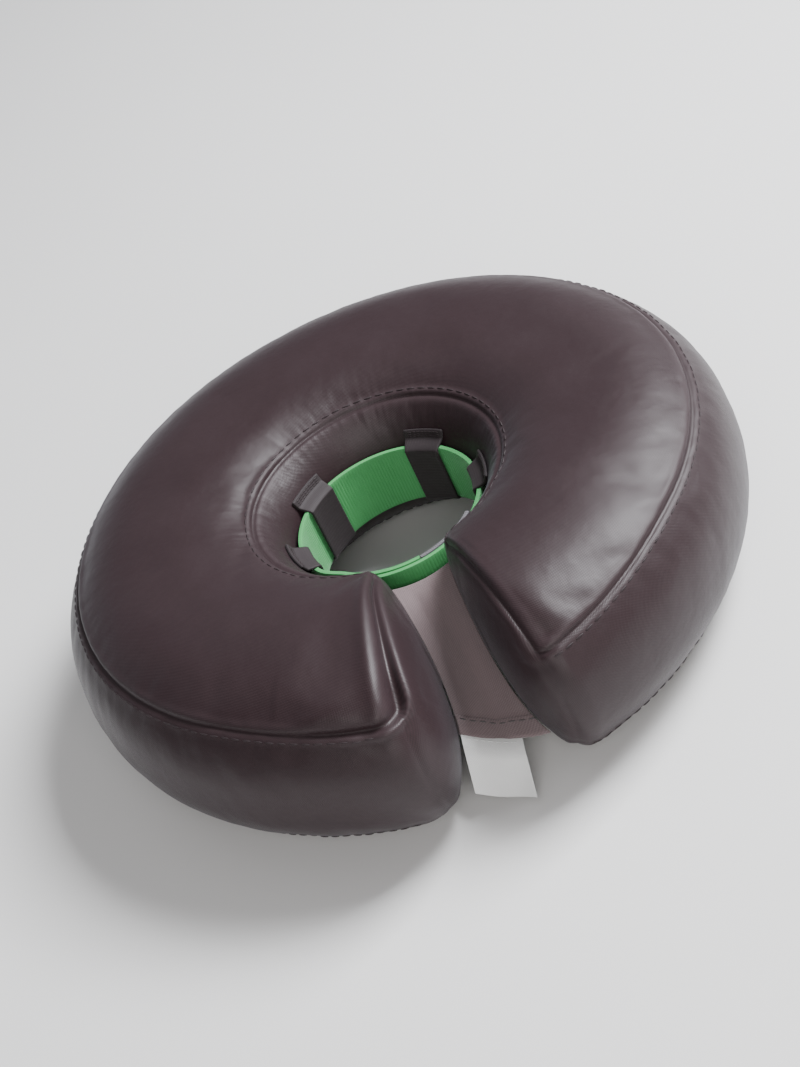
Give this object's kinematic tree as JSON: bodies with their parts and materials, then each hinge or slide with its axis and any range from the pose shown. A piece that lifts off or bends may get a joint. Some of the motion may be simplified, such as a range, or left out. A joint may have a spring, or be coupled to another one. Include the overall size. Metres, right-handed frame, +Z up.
{
  "type": "inflatable recovery collar",
  "caption": "Inflated C-shaped fabric ring that closes round a small pet's neck, with a gap and flap at the front and a webbing strap in loops inside the neck opening.",
  "frame": {"origin": "on the ground, under the middle of the bounding box, 1.3 mm behind the vertical axis of the neck opening", "axes": "+Z up through the neck opening, -Y towards the gap between the collar's two ends, +X to the viewer's right when facing the gap"},
  "size_m": [0.1999, 0.1967, 0.0563],
  "materials": {
    "cover_cloth": "charcoal black woven nylon with a soft satin sheen",
    "keeper_tape": "dull charcoal woven tape",
    "flap_cloth": "matt warm grey cloth",
    "label_satin": "white satin label tape, blank",
    "strap_webbing": "green ribbed webbing",
    "hook_cloth": "grey hook tape",
    "bladder_film": "soft vinyl film",
    "valve_plastic": "smooth moulded vinyl"
  },
  "bodies": {
    "root": {"top_panel": "cover_cloth", "outer_band": "cover_cloth", "bottom_panel": "cover_cloth", "neck_band": "cover_cloth", "left_end_panel": "cover_cloth", "right_end_panel": "cover_cloth", "bladder": "bladder_film", "valve": "valve_plastic", "closing_flap": "flap_cloth", "care_label": "label_satin", "neck_strap": "strap_webbing", "strap_hook_tab": "hook_cloth", "strap_keeper_1": "keeper_tape", "strap_keeper_2": "keeper_tape", "strap_keeper_3": "keeper_tape", "strap_keeper_4": "keeper_tape"}
  },
  "joints": []
}
